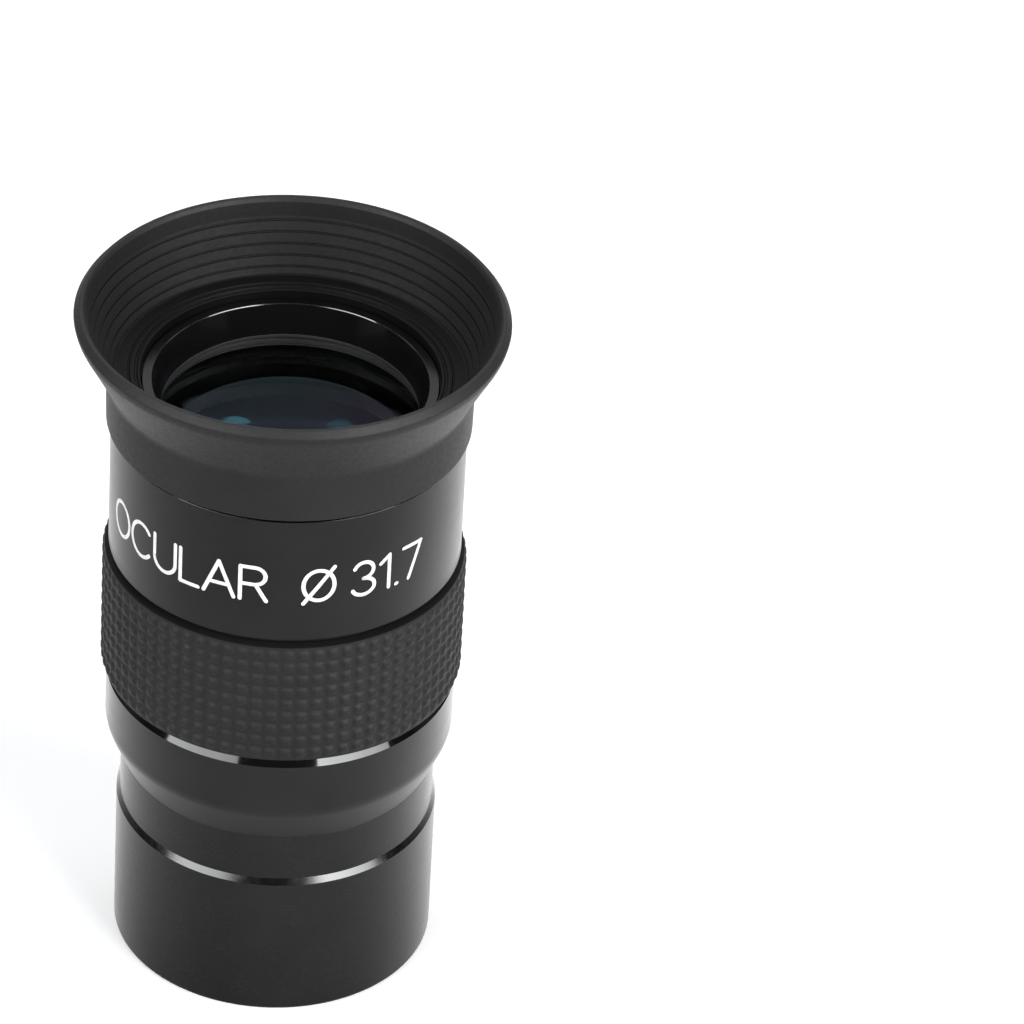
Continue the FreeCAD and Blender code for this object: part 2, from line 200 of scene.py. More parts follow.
# ------------------------------------------------------------------ shader graphs
class Graph:
    """Builds the node tree of a material, world or light. Wherever an input takes a value, it also
    takes a socket, or a node, which stands for its first output."""

    def __init__(self, owner, output=None):
        self.owner = owner
        owner.use_nodes = True
        self.tree = owner.node_tree
        self.object_coord = None
        if output:
            self.tree.nodes.clear()
            self.out = self.node(output)

    @property
    def coord(self):
        if self.object_coord is None:
            self.object_coord = self.node("ShaderNodeTexCoord").outputs["Object"]
        return self.object_coord

    def put(self, socket, value):
        if isinstance(value, bpy.types.Node):
            value = value.outputs[0]
        if isinstance(value, bpy.types.NodeSocket):
            self.tree.links.new(value, socket)
        else:
            socket.default_value = value

    def fill(self, node, *values, **named):
        """Sets inputs in order, or by name with _ for a space."""
        for i, value in enumerate(values):
            self.put(node.inputs[i], value)
        for key, value in named.items():
            self.put(node.inputs[key.replace("_", " ")], value)
        return node

    def node(self, kind, *values, **named):
        return self.fill(self.tree.nodes.new("" + kind), *values, **named)

    def finish(self, shader):
        self.put(self.out.inputs["Surface"], shader)
        return self.owner

    def math(self, operation, *values):
        made = self.node("ShaderNodeMath")
        made.operation = operation
        return self.fill(made, *values)

    def plus(self, a, b):
        return self.math("ADD", a, b)

    def times(self, a, b):
        return self.math("MULTIPLY", a, b)

    def noise(self, scale, detail, rough):
        return self.node("ShaderNodeTexNoise", Vector=self.coord, Scale=scale, Detail=detail,
                         Roughness=rough)

    def bands(self, along, per_metre, detail, rough):
        """Noise that varies only with the length given as along."""
        made = self.node("ShaderNodeTexNoise")
        made.noise_dimensions = "1D"
        return self.fill(made, W=self.times(along, per_metre), Scale=1.0, Detail=detail,
                         Roughness=rough)

    def remap(self, value, span, to=(0.0, 1.0)):
        return self.node("ShaderNodeMapRange", value, *span, *to)

    def mix(self, factor, a, b):
        made = self.node("ShaderNodeMix")
        made.data_type = "RGBA"
        for i, value in ((0, factor), (6, a), (7, b)):
            self.put(made.inputs[i], value)
        return made.outputs[2]

    def split(self, vector):
        return self.node("ShaderNodeSeparateXYZ", vector).outputs

    def radius_height(self):
        """Distance from the axis and height."""
        x, y, z = self.split(self.coord)
        return self.math("SQRT", self.plus(self.times(x, x), self.times(y, y))), z

    def bump(self, height, strength, distance, **below):
        return self.node("ShaderNodeBump", Height=height, Strength=strength, Distance=distance,
                         **below)

    def specks(self, cell, size, share, seed):
        """1 on a scatter of round specks, elsewhere 0. share is the part of cells with a speck."""
        shifted = self.node("ShaderNodeVectorMath", self.coord, (seed, seed * 0.7, seed * 1.3))
        cells = self.node("ShaderNodeTexVoronoi", Vector=shifted, Scale=1.0 / cell, Randomness=1.0)
        draw = self.node("ShaderNodeSeparateColor", Color=cells.outputs["Color"]).outputs
        chosen = self.math("LESS_THAN", draw[0], share)
        radius = self.times(draw[1], size / cell)
        inside = self.remap(cells.outputs["Distance"], (self.times(radius, 0.6), radius), (1.0, 0.0))
        return self.times(chosen, inside)


def material_graph(name):
    return Graph(bpy.data.materials.new(name), "ShaderNodeOutputMaterial")


def grey(value, warm=0.0):
    return (value * (1 + warm), value, value * (1 - warm), 1.0)


# ------------------------------------------------------------------ materials
def anodised(name, dark=0.010, light=0.016, rough=0.30, lines=0.25, grain=0.35, specular=0.5,
             dust=0.5):
    """Black anodised aluminium: turning lines, a blasted grain, handling marks, a little dust.
    dark and light bound its shade; lines and grain are bump strengths."""
    blue = 1.03             # a slightly cool black
    net = material_graph(name)
    r, z = net.radius_height()
    along = net.plus(net.times(z, 1.0), net.times(r, 1.37))     # runs along walls and end faces
    line = net.bands(along, per_metre=9000.0, detail=4.0, rough=0.7)
    wide = net.bands(along, per_metre=1400.0, detail=2.0, rough=0.5)
    fine = net.noise(scale=26000.0, detail=2.0, rough=0.6)
    cloud = net.noise(scale=130.0, detail=4.0, rough=0.6)
    smear = net.noise(scale=420.0, detail=5.0, rough=0.65)
    speck = net.specks(cell=0.0042, size=0.00006, share=0.10 * dust, seed=0.031)
    shade = net.mix(net.remap(cloud, (0.3, 0.7)),
                    (dark, dark, dark * blue, 1), (light, light, light * blue, 1))
    shade = net.mix(net.times(speck, 0.75), shade, grey(0.35))
    smeared = net.remap(smear, (0.3, 0.75), to=(rough - 0.015, rough + 0.025))
    banded = net.times(net.math("SUBTRACT", wide, 0.5), 0.05)
    normal = net.bump(line, strength=lines, distance=0.0000016)
    normal = net.bump(fine, strength=grain, distance=0.0000030, Normal=normal)
    return net.finish(net.node(
        "ShaderNodeBsdfPrincipled", Base_Color=shade, Roughness=net.plus(smeared, banded),
        Normal=normal, Specular_IOR_Level=specular))


def polished(name, value, rough, grain=0.0):
    """A bright-cut chamfer: mirror-like, with the lathe's lines along it."""
    net = material_graph(name)
    r, z = net.radius_height()
    line = net.bands(net.plus(z, r), per_metre=22000.0, detail=3.0, rough=0.7)
    fine = net.noise(scale=15000.0, detail=2.0, rough=0.6)
    cloud = net.noise(scale=900.0, detail=3.0, rough=0.6)
    normal = net.bump(line, strength=0.3, distance=0.0000014)
    normal = net.bump(fine, strength=grain, distance=0.000006, Normal=normal)
    return net.finish(net.node(
        "ShaderNodeBsdfPrincipled", Metallic=1.0, Normal=normal,
        Base_Color=net.mix(cloud, grey(value * 0.85, -0.01), grey(value * 1.1, -0.02)),
        Roughness=net.remap(cloud, (0.3, 0.7), to=(rough * 0.8, rough * 1.3))))


def rubber(name, dark, light, rough, grain, dust, sheen, specular=0.42, cell=0.0030):
    """Moulded black rubber: a matt skin, faint bloom, specks of dust. cell spaces the larger
    specks, in metres."""
    net = material_graph(name)
    fine = net.noise(scale=9000.0, detail=3.0, rough=0.65)
    pore = net.noise(scale=2600.0, detail=4.0, rough=0.6)
    cloud = net.noise(scale=160.0, detail=5.0, rough=0.62)
    bloom = net.noise(scale=55.0, detail=3.0, rough=0.5)
    speck = net.specks(cell=cell, size=0.00010, share=0.12 * dust, seed=0.017)
    small = net.specks(cell=0.0012, size=0.00003, share=0.10 * dust, seed=0.093)
    dusty = net.math("MAXIMUM", speck, net.times(small, 0.6))
    shade = net.mix(net.remap(cloud, (0.3, 0.72)), grey(dark, -0.01), grey(light, -0.015))
    shade = net.mix(net.times(net.remap(bloom, (0.5, 0.8)), 0.25), shade, grey(light * 1.8))
    shade = net.mix(net.times(net.remap(pore, (0.45, 0.7)), 0.22), shade, grey(dark * 0.5))
    shade = net.mix(net.times(dusty, 0.8), shade, grey(0.60))
    normal = net.bump(pore, strength=grain * 0.5, distance=0.000010)
    normal = net.bump(fine, strength=grain, distance=0.000006, Normal=normal)
    normal = net.bump(speck, strength=0.6, distance=0.00003, Normal=normal)
    return net.finish(net.node(
        "ShaderNodeBsdfPrincipled", Normal=normal, Base_Color=shade,
        Roughness=net.remap(pore, (0.3, 0.7), to=(rough - 0.06, rough + 0.08)),
        Specular_IOR_Level=specular, Sheen_Weight=sheen, Sheen_Roughness=0.3,
        Sheen_Tint=(0.8, 0.82, 0.85, 1)))


def coated_glass(name, steep, grazing, strength, aperture=None, painted_reflection=0.0):
    """A lens face under an anti-reflection coating, which leaves a weak reflection tinted by angle.
    The coating ends at the aperture radius, in metres. painted_reflection, used only with an
    aperture, is the strength of a painted reflection: a very weak glow that stands in for the light
    the coated face reflects, which light sampling can't reach."""
    net = material_graph(name)
    cloud = net.noise(scale=90.0, detail=2.0, rough=0.5)
    speck = net.specks(cell=0.0026, size=0.00004, share=0.10, seed=0.051)
    facing = net.node("ShaderNodeLayerWeight", Blend=0.5).outputs["Facing"]
    tint = net.mix(net.remap(net.plus(facing, net.times(cloud, 0.2)), (0.25, 0.85)),
                   (*steep, 1), (*grazing, 1))
    amount = net.times(net.node("ShaderNodeFresnel", IOR=1.5), strength)
    amount = net.math("MINIMUM", amount, 0.25)
    if aperture:
        r, _ = net.radius_height()
        inside = net.remap(r, (aperture - 0.00006, aperture), to=(1.0, 0.0))
        amount = net.times(amount, net.plus(net.times(inside, 0.9), 0.1))
    gloss = net.node("ShaderNodeBsdfGlossy", Roughness=0.02, Color=tint)
    through = net.node("ShaderNodeBsdfRefraction", IOR=1.60, Roughness=0.0,
                       Color=(0.985, 0.995, 0.99, 1))
    glass = net.node("ShaderNodeMixShader", amount, through, gloss)
    if painted_reflection:
        # the painted reflection's colour: blue to violet across X, green where the view runs most
        # nearly along the camera's axis
        across = net.mix(net.remap(net.split(net.coord)[0], (-0.009, 0.008)),
                         (0.46, 0.62, 0.80, 1), (0.62, 0.50, 0.80, 1))
        incoming = net.node("ShaderNodeNewGeometry").outputs["Incoming"]
        seen = net.node("ShaderNodeVectorTransform", Vector=incoming)
        along = net.math("ABSOLUTE", net.split(seen)[2])
        colour = net.mix(net.remap(along, (0.875, 0.96)), across, (0.32, 0.76, 0.60, 1))
        # the painted reflection glows half as much again in a rim just inside the aperture
        edge = net.times(net.remap(r, (aperture - 0.00022, aperture - 0.00008)), inside)
        glow = net.plus(net.times(inside, painted_reflection), net.times(edge, painted_reflection * 0.5))
        painted_reflection_glow = net.node("ShaderNodeEmission", Color=colour, Strength=glow)
        glass = net.node("ShaderNodeAddShader", glass, painted_reflection_glow)
    dull = net.node("ShaderNodeBsdfDiffuse", Color=grey(0.5))
    return net.finish(net.node("ShaderNodeMixShader", net.times(speck, 0.4), glass, dull))


def cemented(name):
    """The two faces of a cemented joint: light goes straight through."""
    net = material_graph(name)
    return net.finish(net.node("ShaderNodeBsdfTransparent", Color=(0.985, 0.99, 0.985, 1)))


def paint(name):
    """White marking paint, slightly uneven."""
    net = material_graph(name)
    cloud = net.noise(scale=1500.0, detail=4.0, rough=0.6)
    fine = net.noise(scale=9000.0, detail=3.0, rough=0.6)
    shade = net.mix(net.remap(cloud, (0.35, 0.75)), (0.80, 0.80, 0.79, 1), (0.66, 0.67, 0.67, 1))
    return net.finish(net.node(
        "ShaderNodeBsdfPrincipled", Base_Color=shade, Roughness=0.55,
        Normal=net.bump(fine, strength=0.5, distance=0.000006)))


BODY = anodised("satin_black_anodised", dark=0.0100, light=0.0136, grain=0.01, specular=0.46)
NOSE = anodised("satin_black_nosepiece", dark=0.0096, light=0.0132, rough=0.28, grain=0.01,
                specular=0.45)
BORE = anodised("gloss_black_bore", dark=0.0055, light=0.0075, rough=0.10, lines=0.1, grain=0.08,
                dust=0.2, specular=0.35)
MATT = anodised("matt_black_inside", dark=0.004, light=0.006, rough=0.55, lines=0.8, grain=0.6,
                dust=0.3)
# The lens rims' black is several times lighter than the other blacks: painted light, since the glass
# in front keeps the lamps from them.
EDGE_WITH_PAINTED_LIGHT = anodised("blackened_glass_edge_painted_light", dark=0.060, light=0.075, rough=0.6, lines=0.2, grain=0.9,
                dust=0.0, specular=0.2)
CUT = polished("polished_chamfer", value=0.085, rough=0.07)
CUT_NOSE = polished("polished_chamfer_nose", value=0.125, rough=0.20, grain=0.5)
CUT_CROWN = polished("polished_crown_edge", value=0.09, rough=0.12)
CUT_FINE = polished("polished_edge", value=0.16, rough=0.10)
RIM = anodised("cell_rim_gloss", dark=0.003, light=0.0045, rough=0.15, lines=0.3, grain=0.2,
               dust=0.3)
RETAINER = anodised("seat_ring_satin", dark=0.055, light=0.080, rough=0.42, lines=0.9, grain=0.5,
                    dust=0.6)
CUP = rubber("eyecup_rubber", dark=0.0068, light=0.0108, rough=0.56, grain=0.3, dust=2.2,
             sheen=0.11, specular=0.52)
# The eyecup's inner wall is a slightly lighter copy of the eyecup rubber: painted light for the
# inside of the cup. Its extra specks are dust.
CUP_IN_PAINTED_LIGHT = rubber("eyecup_rubber_inside_painted_light", dark=0.0076, light=0.0110, rough=0.66, grain=0.3, dust=3.4,
                sheen=0.05, specular=0.32, cell=0.0024)
# The eyecup's floor is a much darker copy of the eyecup rubber: painted shade, which makes the floor
# darker than the inner wall.
CUP_FLOOR_PAINTED_SHADE = rubber("eyecup_rubber_floor_painted_shade", dark=0.0030, light=0.0045, rough=0.50, grain=0.3,
                   dust=2.2, sheen=0.0, specular=0.20, cell=0.0024)
GRIP = rubber("grip_rubber", dark=0.0078, light=0.0118, rough=0.64, grain=0.25, dust=0.6,
              sheen=0.13, specular=0.47, cell=0.0022)
# The grip ring's ends and inner wall take a much darker copy of the grip rubber: painted shade in
# the gaps above and below the ring.
GRIP_END_PAINTED_SHADE = rubber("grip_rubber_ends_painted_shade", dark=0.003, light=0.004, rough=0.7, grain=0.35, dust=0.2,
                  sheen=0.0)
GLASS_EYE = coated_glass("coated_eye_glass", steep=(0.30, 0.55, 0.60), grazing=(0.50, 0.40, 0.62),
                         strength=0.16)
# The eye lens's inner face carries a painted reflection, a faint coloured glow inside its aperture.
GLASS_EYE_IN_PAINTED_REFLECTION = coated_glass("coated_eye_glass_inner_painted_reflection", steep=(0.22, 0.55, 0.56),
                            grazing=(0.45, 0.34, 0.60), strength=0.10, aperture=0.0105, painted_reflection=0.027)
GLASS_FIELD_IN = coated_glass("coated_field_glass_inner", steep=(0.12, 0.60, 0.34),
                              grazing=(0.25, 0.50, 0.60), strength=0.05, aperture=0.0118)
GLASS_FIELD = coated_glass("coated_field_glass", steep=(0.16, 0.50, 0.70),
                           grazing=(0.35, 0.25, 0.60), strength=0.6)
CEMENT = cemented("cemented_faces")
PAINT = paint("white_engraving_paint")


# ------------------------------------------------------------------ turned pieces
# Every outline is a list of (r, z, fillet, tag) corners in mm; the piece's table gives each tag
# its material.
def thread(pitch, depth, foot, top, run=0.35):
    """A helical thread as relief: depth deep, fading out over run at both ends."""
    def relief(r, z, angles):
        phase = (z / pitch - angles / TAU) % 1.0
        ridge = 1.0 - np.abs(2 * phase - 1.0)
        form = np.clip((ridge - 0.12) / 0.76, 0, 1)
        fade = np.clip(min(z - foot, top - z) / run, 0, 1)
        return r + depth * form * fade
    return relief


def nosepiece():
    bore = 13.30
    male_foot, male_top = 21.85, 24.72
    female_foot, female_top = 0.35, 4.55
    grooves = []
    for k in range(33):     # fine light-trap grooves, from the top down
        z = 24.2 - 0.55 * k
        grooves += [(bore, z, 0.02, 2), (13.62, z - 0.24, 0.02, 2), (bore, z - 0.48, 0.02, 2)]
    corners = [
        (14.275, 0, 0.05, 0), (15.85, 0, 0.32, 0), (15.85, 15.55, 0.025, 1),
        (15.51, 16.20, 0.025, 0), (NECK_R, JOINT_Z, 0.02, 0), (14.10, JOINT_Z, 0.05, 0),
        (14.10, 21.75, 0.05, 0), (14.22, male_foot, 0.02, 3), (14.22, male_top, 0.02, 0),
        (14.30, 24.80, 0.05, 0), (14.30, 25.0, 0.06, 0), (bore, 25.0, 0.06, 2),
        *grooves,
        (bore, 5.6, 0.04, 2), (14.35, 5.6, 0.04, 2), (14.35, 4.6, 0.04, 2),
        (13.95, female_top, 0.02, 4), (13.95, female_foot, 0.03, 0),
    ]
    male = thread(JOINT_PITCH, 0.37, male_foot, male_top)
    female = thread(0.60, 0.30, female_foot, female_top, run=0.25)

    def relief(r, z, angles):
        return (male if z > 20 else female)(r, z, angles)
    turned("nosepiece_barrel", corners, 384, {0: NOSE, 1: CUT_NOSE, 2: MATT, 3: NOSE, 4: NOSE},
           "nosepiece", "black_anodised", "nosepiece", relief=relief, relief_tags=(3, 4), step=0.05)


def housing():
    foot = JOINT_Z + 0.02
    throat, groove = 12.40, 12.95
    thread_r, thread_foot, thread_top = 14.65, 22.05, 25.95
    baffles = []
    for k in reversed(range(5)):
        z = 28.2 + 1.8 * k
        baffles += [(throat, z + 0.9, 0.03, 2), (groove, z + 0.9, 0.03, 2), (groove, z, 0.03, 2),
                    (throat, z, 0.03, 2)]
    corners = [
        # outside, going up: flare, chamfer, recess for the grip ring, crown
        (14.85, foot, 0.03, 0), (NECK_R, foot, 0.02, 0), (17.10, 25.20, 3.2, 0),
        (17.10, 30.98, 0.02, 1), (16.45, 31.90, 0.02, 2), (RECESS_R, 32.05, 0.03, 2),
        (RECESS_R, 46.06, 0.04, 2), (16.97, 46.06, 0.03, 0), (CROWN_R, 46.24, 0.05, 0),
        (CROWN_R, 59.82, 0.02, 4), (16.81, 60.10, 0.02, 0),
        # collar inside the eyecup
        (15.60, 60.10, 0.05, 2), (15.60, 61.40, 0.05, 2), (15.15, 61.40, 0.05, 2),
        (15.15, 62.50, 0.05, 2), (15.60, 62.50, 0.05, 2), (15.60, 63.80, 0.05, 2),
        (15.40, 64.00, 0.05, 2), (14.25, 64.00, 0.04, 2),
        # inside, going down
        (14.25, 39.15, 0.03, 2), (throat, 39.15, 0.05, 2),
        *baffles,
        (throat, 26.22, 0.05, 2), (thread_r, 26.22, 0.04, 2), (thread_r, thread_top, 0.02, 3),
        (thread_r, thread_foot, 0.02, 2), (thread_r, 21.52, 0.03, 2),
    ]
    turned("housing_shell", corners, 384, {0: BODY, 1: CUT, 2: MATT, 3: MATT, 4: CUT_CROWN},
           "main_body", "black_anodised", "housing", step=0.055, relief_tags=(3,),
           relief=thread(JOINT_PITCH, 0.36, thread_foot, thread_top))


def eyecup():
    down, into = np.array([-0.415, -0.910]), np.array([0.910, -0.415])  # along and into the wall
    grooves = []
    for at in ((19.23, 70.18), (18.75, 69.15), (18.28, 68.08), (17.84, 67.03), (17.30, 66.08)):
        at = np.array(at)
        # the band above ends in a soft lip that stands 0.05 proud of the band below
        grooves += [(*(at - down * 0.10 - into * 0.05), 0.10, 1),
                    (*(at - down * 0.055 + into * 0.20), 0.04, 1),
                    (*(at + down * 0.055 + into * 0.20), 0.04, 1),
                    (*(at + down * 0.10), 0.06, 1)]
    corners = [
        # outside and lip
        (17.53, 60.30, 0.12, 0), (17.60, 65.30, 2.2, 0), (20.62, 70.95, 2.4, 0),
        (20.80, 71.75, 0.45, 0), (20.20, 72.50, 0.5, 0), (19.85, 72.42, 0.4, 0),
        # inner wall
        (19.62, 71.95, 0.5, 1), (19.36, 70.60, 0.6, 1),
        *grooves,
        # floor with two shallow rings
        (16.86, 65.35, 0.35, 2), (15.62, 65.35, 0.06, 2), (15.56, 65.20, 0.04, 2),
        (15.42, 65.20, 0.04, 2), (15.36, 65.33, 0.05, 2), (14.96, 65.33, 0.06, 2),
        (14.88, 65.12, 0.04, 2), (14.70, 65.12, 0.04, 2), (14.62, 65.22, 0.05, 2),
        (14.38, 65.20, 0.08, 2),
        # underside, around the housing's collar
        (14.36, 64.10, 0.06, 0), (15.66, 64.10, 0.08, 0), (15.66, 62.35, 0.05, 0),
        (15.25, 62.35, 0.15, 0), (15.25, 61.55, 0.15, 0), (15.66, 61.55, 0.05, 0),
        (15.66, 60.30, 0.10, 0),
    ]
    # tag 1, the inner wall, is rubber with painted light; tag 2, the floor, is rubber with painted
    # shade
    turned("rubber_eyecup", corners, 384, {0: CUP, 1: CUP_IN_PAINTED_LIGHT, 2: CUP_FLOOR_PAINTED_SHADE},
           "eyecup", "eyecup_rubber", "eyecup")


def grip_ring():
    """A band of raised rubber pads in rows."""
    rows, around, cuts = 9, 76, 12      # pads up and around, and mesh steps per pad
    pad_height = 0.21
    foot, top = 32.14, 45.48
    low, high = foot + 0.14, top - 0.14
    pitch = (high - low) / rows
    wall = RECESS_R + 0.06

    def pad(offset):
        """Profile across a pad: 1 in the middle, 0 in the gap."""
        t = np.clip((0.90 - offset) / 0.62, 0, 1)
        return t * t * (3 - 2 * t)

    def relief(r, z, angles):
        row = (z - low) / pitch
        across = np.abs(angles * around / TAU % 1.0 - 0.5) * 2
        along = abs(row % 1.0 - 0.5) * 2
        inside = 1.0 if 0 <= row <= rows else 0.0
        return r + pad_height * pad(across) * pad(along) * inside
    corners = [
        (wall, foot, 0.05, 6), (17.44, foot, 0.06, 0), (17.46, foot + 0.10, 0.02, 5),
        (17.46, top - 0.10, 0.02, 6), (17.40, top, 0.04, 6), (wall, top, 0.05, 6),
    ]
    # tag 6, the ends, upper chamfer and inner wall, is rubber with painted shade
    turned("rubber_grip_ring", corners, around * cuts, {0: GRIP, 5: GRIP, 6: GRIP_END_PAINTED_SHADE},
           "main_body", "grip_rubber", "grip_ring", relief=relief, relief_tags=(5,),
           step=pitch / cuts)


def optics_cell():
    corners = [
        (13.05, 39.20, 0.05, 2), (14.20, 39.20, 0.05, 2), (14.20, 64.32, 0.04, 1),
        (14.13, 64.40, 0.03, 1), (13.27, 64.40, 0.015, 3), (13.21, 64.33, 0.015, 4),
        (12.32, 61.45, 0.04, 5), (12.30, 61.38, 0.03, 5), (12.36, 61.08, 0.03, 2),
        (12.40, 61.04, 0.02, 2), (13.05, 61.04, 0.03, 2),
    ]
    turned("optics_cell", corners, 384, {2: MATT, 1: RIM, 3: CUT_FINE, 4: BORE, 5: RETAINER},
           "main_body", "gloss_black_metal", "lens_cell")


def eye_lens_seat():
    foot = EYE_FACE_Z + 0.04
    corners = [
        (12.78, foot, 0.04, 0), (13.02, foot, 0.03, 0), (13.02, 61.01, 0.03, 2),
        (12.82, 61.01, 0.02, 2), (12.51, 60.72, 0.02, 0), (12.54, 60.56, 0.02, 0),
        (12.58, 60.53, 0.02, 0), (12.57, 60.47, 0.02, 0), (12.64, 60.20, 0.01, 2),
        (12.70, 60.17, 0.01, 2), (12.70, 60.11, 0.01, 2), (12.672, 60.08, 0.01, 0),
        (12.715, 59.92, 0.01, 3),
    ]
    turned("eye_lens_seat", corners, 384, {0: RETAINER, 2: MATT, 3: CUT_FINE},
           "main_body", "satin_black_metal", "eye_seat_ring")


def matt_rings():
    """The lock ring only changes material; the field stop and the doublet spacer are turned."""
    for material_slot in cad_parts["field_lock_ring"].material_slots:
        material_slot.material = MATT
    stop = [
        (STOP_R, 25.03, 0.03, 0), (14.50, 25.03, 0.05, 0), (14.50, 26.19, 0.05, 0),
        (STOP_R, 26.19, 0.05, 0), (10.90, 25.62, 0.02, 0), (10.90, 25.50, 0.02, 0),
    ]
    turned("field_stop", stop, 256, {0: MATT}, "field_stop", "matt_black_metal", "field_stop_ring")
    foot, top = 48.71, 52.99
    spacer = [(r, z, 0.04, 0)
              for r, z in ((STOP_R, foot), (LENS_R, foot), (LENS_R, top), (STOP_R, top))]
    turned("doublet_spacer", spacer, 256, {0: MATT}, "main_body", "matt_black_metal", "lens_spacer")


# ------------------------------------------------------------------ lenses
def lens(name, node, slot, top, foot):
    """A lens with a blackened rim. top and foot are (height on the axis, radius of curvature or
    None for flat, 1 if highest on the axis or -1 if lowest, material)."""
    bevel, steps = 0.10, 40
    edge = LENS_R - bevel

    def face(height, curve, sign):
        if curve is None:
            return [(0.0, height), (edge, height)]
        return [(r, height - sign * (curve - math.sqrt(curve * curve - r * r)))
                for r in (edge * k / steps for k in range(steps + 1))]
    low, high = face(*foot[:3]), face(*top[:3])
    corners = [(*point, 0, 1) for point in low[:-1]] + [(*low[-1], 0, 0)]
    corners += [(LENS_R, low[-1][1] + bevel, 0, 0), (LENS_R, high[-1][1] - bevel, 0, 0)]
    corners += [(*point, 0, 2) for point in reversed(high)]
    # tag 0, the rim, is the blackened edge with painted light
    turned(name, corners, 192, {0: EDGE_WITH_PAINTED_LIGHT, 1: foot[3], 2: top[3]}, "main_body", slot, node)


def optics():
    """Two cemented doublets, their crowns facing each other."""
    flint, crown, gap = 2.00, 6.60, 0.60    # thicknesses, and the air between the doublets
    joint, bulge = 28, 40                   # radii of the cemented and of the inner faces
    cement = 0.03
    eye_joint = EYE_FACE_Z - flint
    field_top = eye_joint - crown - gap
    field_joint = field_top - crown
    lens("eye_lens_flint", "eye_flint", "coated_glass",
         top=(EYE_FACE_Z, None, 0, GLASS_EYE), foot=(eye_joint, joint, 1, CEMENT))
    lens("eye_lens_crown", "eye_crown", "crown_glass",
         top=(eye_joint - cement, joint, 1, CEMENT),
         foot=(eye_joint - crown, bulge, -1, GLASS_EYE_IN_PAINTED_REFLECTION))
    lens("field_lens_crown", "field_crown", "crown_glass",
         top=(field_top, bulge, 1, GLASS_FIELD_IN),
         foot=(field_joint + cement, joint, -1, CEMENT))
    lens("field_lens_flint", "field_flint", "coated_glass",
         top=(field_joint, joint, -1, CEMENT), foot=(field_joint - flint, None, 0, GLASS_FIELD))


# ------------------------------------------------------------------ marking
def arc(centre_x, centre_y, radius_x, radius_y, start, end, steps):
    """Points on an ellipse from start to end degrees."""
    angles = [math.radians(start + (end - start) * k / steps) for k in range(steps + 1)]
    return [(centre_x + radius_x * math.cos(a), centre_y + radius_y * math.sin(a)) for a in angles]


# glyph: (width, strokes), in letter heights
GLYPHS = {
    "O": (0.86, [arc(0.43, 0.5, 0.43, 0.5, 0, 360, 72)]),
    "C": (0.80, [arc(0.43, 0.5, 0.43, 0.5, 42, 318, 60)]),
    "U": (0.72, [[(0, 1), (0, 0.36)] + arc(0.36, 0.36, 0.36, 0.36, 180, 360, 36)
                 + [(0.72, 0.36), (0.72, 1)]]),
    "L": (0.54, [[(0, 1), (0, 0)], [(0, 0), (0.54, 0)]]),
    "A": (0.82, [[(0, 0), (0.41, 1)], [(0.41, 1), (0.82, 0)], [(0.14, 0.33), (0.68, 0.33)]]),
    "R": (0.68, [[(0, 0), (0, 1)],
                 [(0, 1), (0.38, 1)] + arc(0.38, 0.74, 0.27, 0.26, 90, -90, 30)
                 + [(0.38, 0.48), (0, 0.48)],
                 [(0.40, 0.48), (0.68, 0)]]),
    "dia": (0.86, [arc(0.43, 0.5, 0.40, 0.46, 0, 360, 72), [(0.04, -0.04), (0.82, 1.04)]]),
    "3": (0.60, [arc(0.29, 0.75, 0.27, 0.25, 160, -90, 40),
                 arc(0.29, 0.25, 0.31, 0.25, 90, -160, 44)]),
    "1": (0.30, [[(0, 0.80), (0.26, 1)], [(0.26, 1), (0.26, 0)]]),
    ".": (0.06, [[(0.02, 0.0), (0.04, 0.0)]]),
    "7": (0.60, [[(0, 1), (0.60, 1)], [(0.60, 1), (0.20, 0)]]),
}
LETTER_HEIGHT, LETTER_BASE = 3.73, 50.63
SPACE = 1.1
HALF_STROKE = 0.43 / 2
PAINT_PROUD = 0.018
PIECE = 0.16                # longest straight piece of a stroke
CAP_ANGLES = (20, 40, 58, 72, 82, 87)
# a stroke's section: (half strokes across, paint heights up or, when negative, mm down)
SECTION = [(-1, -0.16), (-1, -0.01), (-0.90, 0.55), (-0.6, 1.0), (0, 1.0), (0.6, 1.0),
           (0.90, 0.55), (1, -0.01), (1, -0.16)]


def stroke_stations(path):
    """Stations (centre, direction, width scale) along a stroke, and whether it is closed."""
    corners = [np.array(point, float) for point in path]
    points = [corners[0]]
    for a, b in zip(corners, corners[1:]):
        pieces = max(1, int(np.linalg.norm(b - a) / PIECE))
        points += [a + (b - a) * k / pieces for k in range(1, pieces + 1)]
    closed = np.linalg.norm(points[0] - points[-1]) < 1e-6 and len(points) > 8
    if closed:
        points.pop()
    count = len(points)
    stations = []
    for i, point in enumerate(points):
        before = points[i - 1] if closed or i else point
        after = points[(i + 1) % count] if closed or i < count - 1 else point
        stations.append((point, (after - before) / np.linalg.norm(after - before), 1.0))
    if not closed:          # round caps

        def cap(station, sign, angles):
            centre, direction, _ = station
            return [(centre + direction * math.sin(a) * HALF_STROKE * sign, direction, math.cos(a))
                    for a in map(math.radians, angles)]
        stations = (cap(stations[0], -1, reversed(CAP_ANGLES)) + stations
                    + cap(stations[-1], 1, CAP_ANGLES))
    return stations, closed


